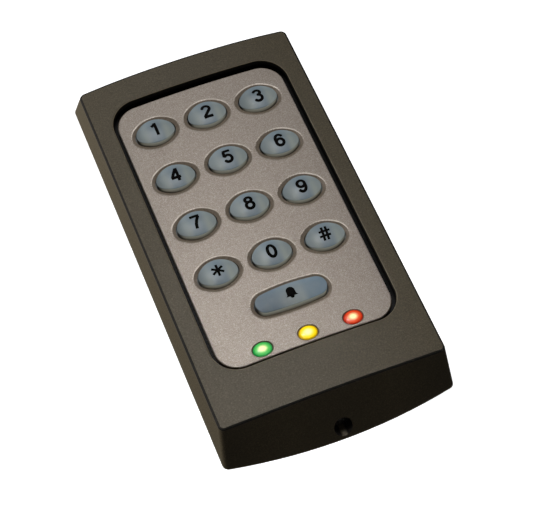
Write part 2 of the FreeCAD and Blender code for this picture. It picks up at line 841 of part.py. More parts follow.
def make_cable_grommet():
    """A turned rubber bush that lines the cable's way through the wall plate."""
    body = new_body("grommet_form")
    put(body, 0, cable_y, 0)
    sketch = new_sketch(body, "grommet_section", plane="XZ_Plane")
    bore = S["cable_radius"]
    outer = bore + S["grommet_wall"] - S["thread_gap"]
    flange = bore + S["grommet_wall"] + S["grommet_flange"]
    seat = S["plate_thickness"]
    top = seat + S["grommet_flange_depth"]
    low = S["screw_clearance"]
    draw_outline(sketch, [
        (bore, low), (outer, low), (outer, seat), (flange, seat), (flange, top), (bore, top),
    ])
    revolve(body, sketch, "grommet_turned")
    keep(body, "cable_grommet")


# ---- the module --------------------------------------------------------------------------------

def draw_lens_oval(sketch, margin, x, y):
    draw_oval(
        sketch, S["lens_width"] + 2 * margin, S["lens_length"] + 2 * margin,
        S["lens_end_radius"] + margin, x, y,
    )


lens_places = [(-S["lens_pitch"], "green"), (as_size(0), "yellow"), (S["lens_pitch"], "red")]
terminal_low = board_low + S["board_clearance"]
terminal_high = terminal_low + S["terminal_depth"]


def make_inner_chassis():
    body = new_body("chassis_form")
    inset = S["chassis_wall"]
    radius = S["chassis_radius"]
    low = S["plate_thickness"] + S["seal_thickness"]
    inner = (-chassis_inner, chassis_inner, chassis_low + inset, chassis_high - inset)
    pad_from(body, "block", low, deck_top, lambda sketch: draw_round_box(
        sketch, -chassis_half, chassis_half, chassis_low, chassis_high, radius
    ))
    cut_from(body, "inside", low, deck_under, lambda sketch: draw_round_box(
        sketch, *inner, radius - inset
    ))
    clear = S["fit_clearance"]
    cut_from(body, "key_opening", deck_under, deck_top, lambda sketch: draw_box(
        sketch, -mat_half + clear, mat_half - clear, mat_low + clear, mat_high - clear
    ))

    def draw_lens_holes(sketch):
        for x, _ in lens_places:
            draw_lens_oval(sketch, S["lens_clearance"] - S["lens_stem_inset"], x, lens_y)

    cut_from(body, "lens_holes", deck_under, deck_top, draw_lens_holes)
    reach = S["terminal_offset"] + S["terminal_width"] + 2 * clear
    cut_from(body, "wiring_opening", deck_under, deck_top, lambda sketch: draw_box(
        sketch, -reach, reach, terminal_low - clear, terminal_high + 2 * clear
    ))

    def draw_posts(sketch):
        for x, y in post_places:
            draw_circle(sketch, S["post_radius"], x, y)

    pad_from(body, "posts", S["plate_thickness"], deck_under + S["chassis_deck"] / 2, draw_posts)

    def draw_bosses(sketch):
        for x, y in board_screw_places:
            draw_circle(sketch, S["board_boss_radius"], x, y)

    pad_from(body, "board_bosses", board_top, deck_under + S["chassis_deck"] / 2, draw_bosses)

    def draw_threads(places):
        def draw(sketch):
            for x, y in places:
                draw_circle(sketch, S["screw_radius"] + S["thread_gap"], x, y)
        return draw

    cut_from(
        body, "post_threads", S["plate_thickness"], S["plate_thickness"] + S["screw_hold"],
        draw_threads(post_places),
    )
    cut_from(
        body, "boss_threads", board_top, deck_under + S["screw_clearance"],
        draw_threads(board_screw_places),
    )
    keep(body, "inner_chassis")


def key_places():
    """Every key: its name, its middle, its width, length and end radius, and its dome along X."""
    names = [["1", "2", "3"], ["4", "5", "6"], ["7", "8", "9"], ["star", "0", "hash"]]
    shape = (S["key_width"], S["key_length"], S["key_end_radius"], S["key_dome_along"])
    bell = (S["bell_width"], S["bell_length"], S["bell_end_radius"], S["bell_dome_along"])
    places = [
        (name, column_x[column], row_y[row], shape)
        for row, line in enumerate(names) for column, name in enumerate(line)
    ]
    return places + [("bell", as_size(0), bell_y, bell)]


def make_keypad_plate():
    body = new_body("fascia_form")
    ledge = S["fascia_ledge"]
    radius = S["window_radius"] - S["fascia_gap"]
    pad_from(body, "ledge", deck_top, ledge_top, lambda sketch: draw_round_box(
        sketch, *window_box(ledge), radius + ledge
    ))
    raised_low = ledge_top - S["fascia_ledge_depth"] / 2
    pad_from(body, "raised", raised_low, fascia_top, lambda sketch: draw_round_box(
        sketch, *window_box(as_size(0)), radius
    ))
    crown(body, fascia_top, fascia_crown, S["body_width"] / 2, S["body_length"])
    edge_low = ledge_top.number + S["fascia_edge_radius"].number
    fillet(body, "raised_edge", S["fascia_edge_radius"], lambda edge: edge.BoundBox.ZMin > edge_low)
    gap = S["fit_clearance"]
    cut_from(body, "key_field", deck_top, key_ceiling, lambda sketch: draw_box(
        sketch, -mat_half + gap, mat_half - gap, mat_low + gap, mat_high - gap
    ))
    pocket_top = deck_top + S["lens_flange_depth"] + 2 * S["lens_clearance"]

    def draw_lens_pockets(sketch):
        for x, _ in lens_places:
            draw_lens_oval(sketch, S["lens_flange"] + S["lens_clearance"], x, lens_y)

    cut_from(body, "lens_pockets", deck_top, pocket_top, draw_lens_pockets)

    def draw_holes(sketch):
        clear = S["key_clearance"]
        for _, x, y, (width, length, end_radius, _) in key_places():
            draw_oval(sketch, width + 2 * clear, length + 2 * clear, end_radius + clear, x, y)

    cut_from(body, "key_holes", key_ceiling - gap, fascia_top + gap, draw_holes)

    def draw_lens_holes(sketch):
        for x, _ in lens_places:
            draw_lens_oval(sketch, S["lens_clearance"], x, lens_y)

    cut_from(body, "lens_holes", pocket_top - S["lens_clearance"], fascia_top + gap, draw_lens_holes)

    def on_face(edge, low, high):
        """Whether an edge lies on the fascia's crowned face, between two places along Y."""
        if min(v.Point.y for v in edge.Vertexes) < low or max(v.Point.y for v in edge.Vertexes) > high:
            return False
        if max(abs(v.Point.x) for v in edge.Vertexes) > mat_half.number:
            return False
        face = [fascia_top.number - crown_drop(v.Point.x, fascia_crown).number for v in edge.Vertexes]
        return all(abs(v.Point.z - z) < 0.01 for v, z in zip(edge.Vertexes, face))

    key_field = (mat_low.number, mat_high.number)
    chamfer(
        body, "key_rims", S["key_rim"], S["key_rim_depth"], lambda edge: on_face(edge, *key_field)
    )
    fillet(body, "key_lips", S["key_lip_radius"], lambda edge: on_face(edge, *key_field))

    lens_half = S["lens_length"] / 2 + S["lens_clearance"] + S["lens_rim"] / 2
    lens_field = ((lens_y - lens_half).number, (lens_y + lens_half).number)
    fillet(body, "lens_rims", S["lens_rim"], lambda edge: on_face(edge, *lens_field))
    keep(body, "keypad_plate")


def dome_cut(body, name, top, half_width, along, across):
    """Shape a key's or a lens's top as a barrel: one radius along X and another round X."""
    sketch = new_sketch(body, f"{name}_section", plane="XZ_Plane")
    side = top - crown_drop(half_width, along)
    above = top + S["key_proud"] * 2
    draw_outline(
        sketch,
        [(half_width, side, along), (-half_width, side), (-half_width, above), (half_width, above)],
    )
    centre = top - across
    axis = sketch.addGeometry(
        Part.LineSegment(Vector(-1, centre.number, 0), Vector(1, centre.number, 0)), True
    )
    pin_point(sketch, axis, 1, -1, centre)
    pin_point(sketch, axis, 2, 1, centre)
    before = solid_volume(body)
    revolve(body, sketch, name, groove=True, axis="Axis0")
    if solid_volume(body) >= before:
        raise ValueError(f"{body.Label}: {name} cuts nothing")


def make_key(name, x, y, shape):
    """A key cap: a domed oval that stands through the fascia, a flange under it and a post."""
    width, length, end_radius, along = shape
    body = new_body(f"key_{name}_form")
    put(body, x, y, 0)
    flange = S["key_flange"]
    top = fascia_top - crown_drop(x, fascia_crown) + S["key_proud"]
    inside = S["fit_clearance"]
    pad_from(body, "flange", flange_under, flange_top, lambda sketch: draw_oval(
        sketch, width + 2 * flange, length + 2 * flange, end_radius + flange
    ))
    pad_from(body, "cap", flange_top - inside, top, lambda sketch: draw_oval(
        sketch, width, length, end_radius
    ))
    dome_cut(body, "dome", top, width / 2 + flange, along, S["key_dome_across"])
    high = (flange_top + inside).number
    fillet(body, "cap_edge", S["key_edge_radius"], lambda edge: edge.BoundBox.ZMin > high)
    pad_from(body, "post", dome_top, flange_under + inside, lambda sketch: draw_circle(
        sketch, S["key_post_radius"]
    ))
    keep(body, f"key_{name}")


def make_dome(name, x, y):
    """The hollow rubber dome under one key, which folds as the key goes down."""
    body = new_body(f"dome_{name}_form")
    put(body, x, y, 0)
    sketch = new_sketch(body, "dome_section", plane="XZ_Plane")
    foot, top = S["dome_foot_radius"], S["dome_top_radius"]
    thick = S["dome_wall"]
    draw_outline(sketch, [
        (foot - thick, mat_top), (foot, mat_top), (top, dome_top), (0, dome_top),
        (0, dome_top - thick), (top - thick, dome_top - thick),
    ])
    revolve(body, sketch, "dome_turned")
    keep(body, f"dome_{name}")


def make_lens(x, colour):
    """A clear light pipe: a domed oval at the fascia, a flange under it and a stem to its lamp."""
    body = new_body(f"lens_{colour}_form")
    put(body, x, lens_y, 0)
    top = fascia_top - crown_drop(x, fascia_crown) + S["lens_proud"]
    low = deck_top + S["lens_clearance"] / 2
    high = low + S["lens_flange_depth"]
    inside = S["fit_clearance"]
    nowhere = as_size(0)
    pad_from(body, "flange", low, high, lambda sketch: draw_lens_oval(
        sketch, S["lens_flange"], nowhere, nowhere
    ))
    pad_from(body, "lens", high - inside, top, lambda sketch: draw_lens_oval(
        sketch, nowhere, nowhere, nowhere
    ))
    dome_cut(body, "dome", top, S["lens_width"] / 2 + inside, S["lens_dome_radius"], S["lens_dome_radius"])
    pad_from(body, "stem", deck_top - S["lens_stem_length"], low + inside, lambda sketch: draw_lens_oval(
        sketch, -S["lens_stem_inset"], nowhere, nowhere
    ))
    keep(body, f"lens_{colour}")


def backlight_places():
    """Small lamps between the key columns on every row, and one at each end of the bell key."""
    between = pitch_across / 2
    rows = [(side * between, y) for y in row_y for side in (-1, 1)]
    return rows + [(-pitch_across, bell_y), (pitch_across, bell_y)]


def make_keypad_mat():
    body = new_body("mat_form")
    pad_from(body, "sheet", board_top, mat_top, lambda sketch: draw_box(
        sketch, -mat_half, mat_half, mat_low, mat_high
    ))

    def draw_lamp_holes(sketch):
        half = S["lamp_length"] / 2 + S["fit_clearance"]
        for x, y in backlight_places():
            draw_box(sketch, x - half, x + half, y - half, y + half)

    cut_from(body, "lamp_holes", board_top, mat_top, draw_lamp_holes)
    keep(body, "keypad_mat")


def make_main_board():
    body = new_body("board_form")
    clear = S["board_clearance"]
    corner_x = post_x - S["post_radius"] - clear
    corner_low = post_low + S["post_radius"] + clear
    corner_high = post_high - S["post_radius"] - clear
    pad_from(body, "sheet", board_under, board_top, lambda sketch: draw_outline(sketch, [
        (-corner_x, board_low), (-notch_half, board_low), (-notch_half, notch_high),
        (notch_half, notch_high), (notch_half, board_low), (corner_x, board_low),
        (corner_x, corner_low), (board_half, corner_low), (board_half, corner_high),
        (corner_x, corner_high), (corner_x, board_high), (-corner_x, board_high),
        (-corner_x, corner_high), (-board_half, corner_high), (-board_half, corner_low),
        (-corner_x, corner_low),
    ]))

    def draw_screw_holes(sketch):
        for x, y in board_screw_places:
            draw_circle(sketch, S["screw_radius"] + S["screw_clearance"], x, y)

    cut_from(body, "screw_holes", board_under, board_top, draw_screw_holes)
    keep(body, "main_board")


def make_board_screws():
    """Four pan-head screws that hold the board up against the chassis."""
    screws = []
    for i, place in enumerate(board_screw_places, start=1):
        head = screw_place(
            f"board_screw_head_{i}", place, board_under - S["board_screw_head"], board_under,
            S["board_head_radius"],
        )
        shank = screw_place(
            f"board_screw_shank_{i}", place, board_under - S["board_screw_head"] / 2,
            deck_under - S["screw_clearance"], S["screw_radius"],
        )
        x, y = place
        half, side = S["drive_reach"], S["drive_width"] / 2
        low = board_under - S["board_screw_head"]
        slot = primitive_box(
            f"board_screw_slot_{i}", x - half, x + half, y - side, y + side, low, low + side * 2
        )
        screws.append(cut(f"board_screw_{i}", join(f"board_screw_solid_{i}", [head, shank]), slot))
    keep(gather("board_screw_group", screws), "board_screws")


def make_antenna_coil():
    """The reader's aerial: a flat racetrack of wire round the edge of the board."""
    body = new_body("coil_form")
    half = board_half - S["coil_inset"]
    low = notch_high + S["board_clearance"]
    high = mat_high + S["mat_margin"] + S["coil_width"]
    width = S["coil_width"]
    radius = S["chassis_radius"]
    top = board_top + S["coil_depth"]
    pad_from(body, "track", board_top, top, lambda sketch: draw_round_box(
        sketch, -half, half, low, high, radius + width
    ))
    cut_from(body, "middle", board_top, top, lambda sketch: draw_round_box(
        sketch, -half + width, half - width, low + width, high - width, radius
    ))
    keep(body, "antenna_coil")


def chip(name, label, width, length, depth, x, y, z):
    """A moulded chip package, given by its middle and its underside."""
    half_width, half_length = as_size(width) / 2, as_size(length) / 2
    x, y, z = as_size(x), as_size(y), as_size(z)
    box = primitive_box(
        name, x - half_width, x + half_width, y - half_length, y + half_length, z, z + as_size(depth)
    )
    if label:
        keep(box, label)
    return box


def make_board_parts():
    """What is soldered to the board: chips, sounder and capacitors under it, lamps on top."""
    depth = S["chip_depth"]
    lamp_depth = S["lamp_depth"]
    chip("processor", "microcontroller", S["processor_size"], S["processor_size"], depth,
         S["processor_reach"], row_y[1], board_under - depth)
    chip("radio", "reader_chip", S["radio_size"], S["radio_size"], depth,
         -S["processor_reach"], row_y[3], board_under - depth)
    keep(primitive_cylinder(
        "sounder", S["buzzer_radius"], S["buzzer_depth"], -S["processor_reach"], row_y[1],
        board_under - S["buzzer_depth"],
    ), "buzzer")
    cans = [
        primitive_cylinder(
            f"can_{i}", S["can_radius"], S["buzzer_depth"], S["processor_reach"] + i * S["can_pitch"],
            row_y[3], board_under - S["buzzer_depth"],
        )
        for i in (-1, 0, 1)
    ]
    keep(gather("can_group", cans), "board_capacitors")
    for x, colour in lens_places:
        chip(f"lamp_{colour}", f"led_{colour}", S["indicator_length"], S["lamp_length"], lamp_depth,
             x, lens_y, board_top)
    lamps = [
        chip(f"lamp_{i}", "", S["lamp_length"], S["lamp_width"], lamp_depth, x, y, board_top)
        for i, (x, y) in enumerate(backlight_places(), start=1)
    ]
    keep(gather("lamp_group", lamps), "backlight_leds")


def terminal_screw_places(side):
    """The middles of the clamp screws in the block on one side of the cable's way in."""
    ways = int(S["terminal_ways"].number)
    pitch = S["terminal_width"] / ways
    y = (terminal_low + terminal_high) / 2
    return [(side * (S["terminal_offset"] + pitch * (way + 0.5)), y) for way in range(ways)]


def make_terminal_block(side, word):
    body = new_body(f"terminal_{word}_form")
    near, far = S["terminal_offset"], S["terminal_offset"] + S["terminal_width"]
    low_x, high_x = (near, far) if side > 0 else (-far, -near)
    top = board_top + S["terminal_height"]
    pad_from(body, "block", board_top, top, lambda sketch: draw_box(
        sketch, low_x, high_x, terminal_low, terminal_high
    ))

    def draw_screw_wells(sketch):
        for x, y in terminal_screw_places(side):
            draw_circle(sketch, S["terminal_screw_radius"] + S["thread_gap"], x, y)

    cut_from(body, "screw_wells", top - S["terminal_well_depth"], top, draw_screw_wells)

    def draw_wire_ways(sketch):
        half = S["terminal_screw_radius"]
        for x, _ in terminal_screw_places(side):
            draw_box(sketch, x - half, x + half, terminal_high - half, terminal_high)

    wire_low = board_top + S["terminal_screw_depth"]
    cut_from(body, "wire_ways", wire_low, board_top + S["terminal_height"] / 2, draw_wire_ways)
    keep(body, f"terminal_block_{word}")


def make_terminal_screws():
    screws = []
    low = board_top + S["terminal_height"] - S["terminal_well_depth"]
    top = low + S["terminal_screw_depth"]
    half, thin = S["terminal_screw_radius"], S["terminal_slot_width"] / 2
    for side in (-1, 1):
        for way, place in enumerate(terminal_screw_places(side)):
            word = f"{'left' if side < 0 else 'right'}_{way}"
            body = screw_place(f"clamp_{word}", place, low, top, S["terminal_screw_radius"])
            x, y = place
            slot = primitive_box(
                f"clamp_slot_{word}", x - half, x + half, y - thin, y + thin, top - 2 * thin, top
            )
            screws.append(cut(f"clamp_screw_{word}", body, slot))
    keep(gather("clamp_group", screws), "terminal_screws")


def check_and_export():
    doc.recompute()
    for obj in doc.Objects:
        if "Invalid" in obj.State or "Error" in obj.State:
            raise ValueError(f"{obj.Name} failed: {obj.State}")
    for obj in PARTS:
        if obj.Shape.isNull() or not obj.Shape.isValid():
            raise ValueError(f"{obj.Label} has no sound shape")
    os.makedirs("parts", exist_ok=True)
    for obj in PARTS:
        obj.Shape.exportStep(f"parts/{obj.Label}.step")


def build_reader():
    make_front_cover()
    make_back_plate()
    make_screw_insert()
    make_cover_screw()
    make_chassis_screws()
    make_rear_seal()
    make_cable_grommet()
    make_inner_chassis()
    make_keypad_plate()
    for name, x, y, shape in key_places():
        make_key(name, x, y, shape)
        make_dome(name, x, y)
    for x, colour in lens_places:
        make_lens(x, colour)
    make_keypad_mat()
    make_main_board()
    make_board_screws()
    make_antenna_coil()
    make_board_parts()
    for side, word in ((-1, "left"), (1, "right")):
        make_terminal_block(side, word)
    make_terminal_screws()


build_reader()
check_and_export()
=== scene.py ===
import math

import bmesh
import bpy
from mathutils import Matrix, Vector
from mathutils.bvhtree import BVHTree
from mathutils.geometry import delaunay_2d_cdt


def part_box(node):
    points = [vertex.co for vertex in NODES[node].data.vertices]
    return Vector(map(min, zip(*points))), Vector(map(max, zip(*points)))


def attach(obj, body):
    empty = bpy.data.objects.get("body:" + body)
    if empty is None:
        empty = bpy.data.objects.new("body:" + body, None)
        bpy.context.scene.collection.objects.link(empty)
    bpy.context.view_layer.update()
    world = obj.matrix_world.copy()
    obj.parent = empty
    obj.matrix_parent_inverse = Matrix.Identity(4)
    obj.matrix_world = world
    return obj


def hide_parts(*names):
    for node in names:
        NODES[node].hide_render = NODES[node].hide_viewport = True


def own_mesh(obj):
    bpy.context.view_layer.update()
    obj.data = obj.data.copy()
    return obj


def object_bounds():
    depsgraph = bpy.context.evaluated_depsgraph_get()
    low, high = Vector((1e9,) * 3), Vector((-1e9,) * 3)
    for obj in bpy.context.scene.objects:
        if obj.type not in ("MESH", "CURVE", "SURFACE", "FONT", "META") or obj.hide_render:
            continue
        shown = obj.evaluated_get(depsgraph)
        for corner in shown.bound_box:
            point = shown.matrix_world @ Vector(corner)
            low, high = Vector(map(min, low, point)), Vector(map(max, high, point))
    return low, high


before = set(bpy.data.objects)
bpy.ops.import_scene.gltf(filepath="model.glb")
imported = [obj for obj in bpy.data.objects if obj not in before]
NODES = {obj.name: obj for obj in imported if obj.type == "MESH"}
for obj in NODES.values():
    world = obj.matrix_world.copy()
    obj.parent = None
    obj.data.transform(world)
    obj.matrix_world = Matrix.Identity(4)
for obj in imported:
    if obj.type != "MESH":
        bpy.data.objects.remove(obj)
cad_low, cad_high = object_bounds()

MM = 0.001
STATIC_BODY = "reader"
KEYS = ["1", "2", "3", "4", "5", "6", "7", "8", "9", "star", "0", "hash", "bell"]


# ---- node helpers ------------------------------------------------------------------------------

class Graph:
    """A material's node tree, with short calls for the nodes used here."""

    def __init__(self, name):
        self.material = bpy.data.materials.new(name)
        self.material.use_nodes = True
        self.tree = self.material.node_tree
        self.shader = self.tree.nodes["Principled BSDF"]

    def node(self, kind, **settings):
        node = self.tree.nodes.new(kind)
        for name, value in settings.items():
            setattr(node, name, value)
        return node

    def link(self, source, target):
        self.tree.links.new(source, target)

    def feed(self, socket, value):
        """Link a socket or set a plain value."""
        if isinstance(value, bpy.types.NodeSocket):
            self.link(value, socket)
        elif value is not None:
            socket.default_value = value

    def where(self, kind="Object"):
        return self.node("ShaderNodeTexCoord").outputs[kind]

    def split(self, vector):
        node = self.node("ShaderNodeSeparateXYZ")
        self.link(vector, node.inputs[0])
        return node.outputs

    def noise(self, size, detail=3.0, rough=0.5):
        """Noise whose features are about size metres across."""
        node = self.node("ShaderNodeTexNoise")
        self.link(self.where(), node.inputs["Vector"])
        node.inputs["Scale"].default_value = 1.0 / size
        node.inputs["Detail"].default_value = detail
        node.inputs["Roughness"].default_value = rough
        return node.outputs[0]

    def cells(self, size):
        """Cells about size metres across, each of one random colour."""
        node = self.node("ShaderNodeTexVoronoi", feature="F1")
        self.link(self.where(), node.inputs["Vector"])
        node.inputs["Scale"].default_value = 1.0 / size
        return node.outputs["Color"]

    def ramp(self, value, stops, interpolation="LINEAR"):
        """A colour ramp; stops are (place, colour or grey)."""
        node = self.node("ShaderNodeValToRGB")
        node.color_ramp.interpolation = interpolation
        self.link(value, node.inputs[0])
        elements = node.color_ramp.elements
        while len(elements) < len(stops):
            elements.new(1.0)
        for element, (place, colour) in zip(elements, stops):
            element.position = place
            element.color = colour_of(colour)
        return node.outputs[0]

    def math(self, operation, a, b=None):
        node = self.node("ShaderNodeMath", operation=operation)
        self.feed(node.inputs[0], a)
        self.feed(node.inputs[1], b)
        return node.outputs[0]

    def mix(self, factor, a, b, blend="MIX"):
        node = self.node("ShaderNodeMix", data_type="RGBA", blend_type=blend)
        self.feed(node.inputs[0], factor)
        for socket, value in ((node.inputs[6], a), (node.inputs[7], b)):
            self.feed(socket, value if isinstance(value, bpy.types.NodeSocket) else colour_of(value))
        return node.outputs[2]

    def bump(self, height, distance, normal=None):
        node = self.node("ShaderNodeBump")
        node.inputs["Strength"].default_value = 1.0
        node.inputs["Distance"].default_value = distance
        self.link(height, node.inputs["Height"])
        self.feed(node.inputs["Normal"], normal)
        return node.outputs[0]

    def set(self, **values):
        """Set or link the shader's sockets, and give back the material."""
        for name, value in values.items():
            socket = self.shader.inputs[name.replace("_", " ")]
            if isinstance(value, tuple) and len(value) == 3 and socket.type == "RGBA":
                value = colour_of(value)
            self.feed(socket, value)
        return self.material


def colour_of(colour):
    """A grey number or an RGB triple as RGBA."""
    if isinstance(colour, (int, float)):
        return (colour, colour, colour, 1.0)
    return (*colour, 1.0) if len(colour) == 3 else tuple(colour)


def srgb(red, green, blue):
    """A screen colour, 0 to 255 a channel, as the linear triple that the shaders take."""
    def linear(channel):
        c = channel / 255
        return c / 12.92 if c <= 0.04045 else ((c + 0.055) / 1.055) ** 2.4
    return (linear(red), linear(green), linear(blue))


# ---- materials ---------------------------------------------------------------------------------

END_LEAN = 0.37               # how far an end wall's normal points up; a side wall's hardly does
OUTER_FROM = 2.2 * MM         # outside the fascia's box: from here on, the cover's outer edge
INNER_TO = 1.6 * MM           # outside the fascia's box: up to here, the wall of the window


def cover_plastic():
    """Dark warm-grey plastic with the fine matt texture of a spark-eroded mould. Painted shade darkens
    its outer edge and makes the window's wall black, and a painted highlight makes the window's lip pale."""
    g = Graph("cover_plastic")
    grain = g.noise(0.45 * MM, detail=4.0, rough=0.65)
    mottle = g.noise(7 * MM, detail=2.0)
    speck = g.ramp(grain, [
        (0.30, srgb(66, 58, 39)), (0.55, srgb(82, 72, 51)), (0.75, srgb(104, 93, 69)),
    ])
    colour = g.mix(g.ramp(mottle, [(0.35, 0.0), (0.7, 0.12)]), speck, srgb(93, 84, 66))
    x, y, _ = g.split(g.where())
    low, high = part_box("keypad_plate")
    middle = (low + high) / 2
    reach = (high - low) / 2
    side = g.math("SUBTRACT", g.math("ABSOLUTE", g.math("SUBTRACT", x, middle.x)), reach.x)
    end = g.math("SUBTRACT", g.math("ABSOLUTE", g.math("SUBTRACT", y, middle.y)), reach.y)
    beyond = g.math("MAXIMUM", side, end)
    _, facing, slope = g.split(g.node("ShaderNodeNewGeometry").outputs["Normal"])
    lean = g.math("MULTIPLY", g.math("ABSOLUTE", facing), END_LEAN)
    turn = g.ramp(g.math("SUBTRACT", slope, lean), [
        (0.14, 0.0), (0.24, 1.0), (0.93, 1.0), (0.985, 0.0),
    ])
    # Painted shade: the cover's rounded outer edge is dark.
    outer = g.math("GREATER_THAN", beyond, OUTER_FROM)
    edge = g.math("MULTIPLY", turn, outer)
    colour = g.mix(edge, colour, srgb(20, 15, 8))
    # A painted highlight: the window's rounded lip is pale.
    rolled = g.ramp(slope, [(0.5, 0.0), (0.75, 1.0), (0.95, 0.0)])
    lip = g.math("MULTIPLY", g.math("SUBTRACT", 1.0, outer), rolled)
    colour = g.mix(lip, colour, srgb(150, 138, 116))
    # Painted shade: the window's wall is black.
    wall_shade_slope = g.ramp(slope, [(0.2, 1.0), (0.5, 0.0)])
    inside = g.math("MULTIPLY", g.math("LESS_THAN", beyond, INNER_TO), wall_shade_slope)
    colour = g.mix(inside, colour, srgb(10, 9, 7))
    rough = g.mix(g.math("MAXIMUM", edge, inside), g.ramp(grain, [(0.3, 0.60), (0.7, 0.46)]), 0.9)
    fine = g.bump(g.noise(0.28 * MM, detail=3.0, rough=0.6), 0.045 * MM)
    coarse = g.bump(g.noise(0.9 * MM, detail=2.0), 0.03 * MM, normal=fine)
    return g.set(Base_Color=colour, Roughness=rough, Specular_IOR_Level=0.4, Normal=coarse)


LEDGE = 2.6 * MM              # the fascia's ledge under the cover, inside its box
RIM_CLEAR_SIDE = 0.5 * MM     # from the ledge in to where a dished rim may start, at the sides
RIM_CLEAR_END = 0.45 * MM     # the same at the low end
# Below PAINT_FROM the fascia is black, painted shade for the groove round it.
PAINT_FROM = 1.75 * MM        # the paint's lower limit above the fascia's underside


def fascia_silver():
    """Silver paint with fine flake, brown and less metallic on the slopes inside the dished rims, with a
    painted highlight on their far lips, and black below the face, painted shade for the groove round it."""
    g = Graph("fascia_silver")
    flake_grey = g.split(g.cells(0.16 * MM))[0]
    cloud = g.noise(9 * MM, detail=2.0)
    base = g.ramp(flake_grey, [
        (0.0, srgb(147, 136, 126)), (0.6, srgb(163, 152, 142)), (1.0, srgb(190, 181, 172)),
    ])
    paint = g.mix(g.ramp(cloud, [(0.3, 0.0), (0.75, 0.18)]), base, srgb(171, 161, 151))
    x, y, height = g.split(g.where())
    low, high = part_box("keypad_plate")
    off_sides = g.math("LESS_THAN", g.math("ABSOLUTE", x), high.x - LEDGE - RIM_CLEAR_SIDE)
    off_end = g.math("GREATER_THAN", y, low.y + LEDGE + RIM_CLEAR_END)
    inside = g.math("MULTIPLY", off_sides, off_end)
    _, tilt, slope = g.split(g.node("ShaderNodeNewGeometry").outputs["True Normal"])
    rim = g.math("MULTIPLY", inside, g.ramp(slope, [(0.945, 1.0), (0.985, 0.0)]))
    # A painted highlight on the far lips of the dished rims.
    rim_highlight_slope = g.ramp(slope, [(0.955, 0.0), (0.97, 1.0), (0.996, 0.8), (0.9995, 0.0)])
    rim_highlight_side = g.ramp(g.math("MULTIPLY", tilt, -1.0), [(0.02, 0.0), (0.12, 1.0)])
    lip = g.math("MULTIPLY", inside, g.math("MULTIPLY", rim_highlight_slope, rim_highlight_side))
    uneven = g.noise(0.6 * MM, detail=2.0)
    brown = g.ramp(uneven, [(0.3, srgb(120, 108, 94)), (0.7, srgb(136, 124, 110))])
    # Below the face the fascia is black, painted shade for the groove round it.
    painted = g.math("GREATER_THAN", height, low.z + PAINT_FROM)
    with_rim_highlight = g.mix(g.math("MULTIPLY", lip, 0.75), g.mix(rim, paint, brown), srgb(236, 226, 214))
    colour = g.mix(painted, srgb(10, 9, 8), with_rim_highlight)
    rough = g.ramp(flake_grey, [(0.0, 0.5), (1.0, 0.36)])
    peel = g.bump(g.noise(0.5 * MM, detail=2.0), 0.012 * MM)
    metal = g.math("MULTIPLY", painted, g.math("SUBTRACT", 0.22, g.math("MULTIPLY", rim, 0.18)))
    return g.set(Base_Color=colour, Roughness=rough, Metallic=metal, Specular_IOR_Level=0.08, Normal=peel)


# How pale a cap is with painted light, from its middle (0.0) to its ends (0.5).
KEY_LOBES = [(0.0, 0.0), (0.08, 0.05), (0.24, 0.9), (0.36, 0.65), (0.5, 0.35)]
BELL_LOBES = [(0.0, 0.8), (0.1, 0.65), (0.22, 0.1), (0.36, 0.0), (0.5, 0.0)]


def key_plastic(name, centre, lobes, light, roughness):
    """Milky blue-grey translucent cap. Painted light makes it paler in lobes across its width, graded
    along it, and makes it give off light of its own; its near wall is olive, lit by painted light, and
    its other walls are dark with painted shade. lobes says how pale it is along its width, and light
    how much light it gives off at the left, middle and right."""
    g = Graph(name)
    x, y, z = g.split(g.where("Generated"))
    _, tilt, slope = g.split(g.node("ShaderNodeNewGeometry").outputs["Normal"])
    # Painted light: pale lobes across the cap, paler towards its near end and its right.
    across = g.ramp(g.math("ABSOLUTE", g.math("SUBTRACT", x, 0.5)), lobes, "EASE")
    low = g.ramp(y, [(0.1, 1.0), (0.55, 0.7), (0.85, 0.25)])
    lean = g.ramp(x, [(0.3, 0.72), (0.7, 1.0)])
    painted_glow = g.math("MULTIPLY", g.math("MULTIPLY", across, low), lean)
    haze = g.noise(2.2 * MM, detail=2.0)
    blue = g.mix(g.ramp(haze, [(0.3, 0.0), (0.7, 0.3)]), srgb(*centre), srgb(112, 120, 122))
    top = g.mix(g.math("MULTIPLY", painted_glow, 0.7), blue, srgb(150, 152, 140))
    # The near wall is olive with painted light on it; the other walls are dark with painted shade.
    near = g.ramp(g.math("MULTIPLY", tilt, -1.0), [(0.35, 0.0), (0.8, 1.0)])
    olive = g.ramp(z, [(0.55, srgb(88, 82, 68)), (0.85, srgb(136, 138, 130))])
    wall = g.mix(near, srgb(34, 31, 26), olive)
    steep = g.ramp(slope, [(0.3, 1.0), (0.85, 0.0)])
    colour = g.mix(steep, top, wall)
    # The cap gives off painted light of its own, graded across it and towards its far end.
    foot = g.ramp(z, [(0.55, 0.0), (0.66, 1.0)])
    painted_glow_sides = g.ramp(x, list(zip((0.2, 0.5, 0.75), light)))
    back = g.ramp(y, [(0.65, 0.0), (0.92, 0.45)])
    lit = g.mix(0.5, colour, g.mix(steep, srgb(146, 156, 160), srgb(158, 156, 146)), "MULTIPLY")
    strength = g.mix(steep, g.math("ADD", painted_glow_sides, back), g.math("MULTIPLY", near, 0.8))
    satin = g.bump(g.noise(0.25 * MM, detail=2.0), 0.004 * MM)
    g.shader.inputs["Subsurface Radius"].default_value = (0.9, 1.0, 1.0)
    return g.set(
        Base_Color=colour, Roughness=roughness, Normal=satin, Subsurface_Weight=0.25,
        Subsurface_Scale=0.6 * MM, Specular_IOR_Level=0.45, Coat_Weight=0.1, Coat_Roughness=0.25,
        Emission_Color=lit, Emission_Strength=g.math("MULTIPLY", foot, strength),
    )


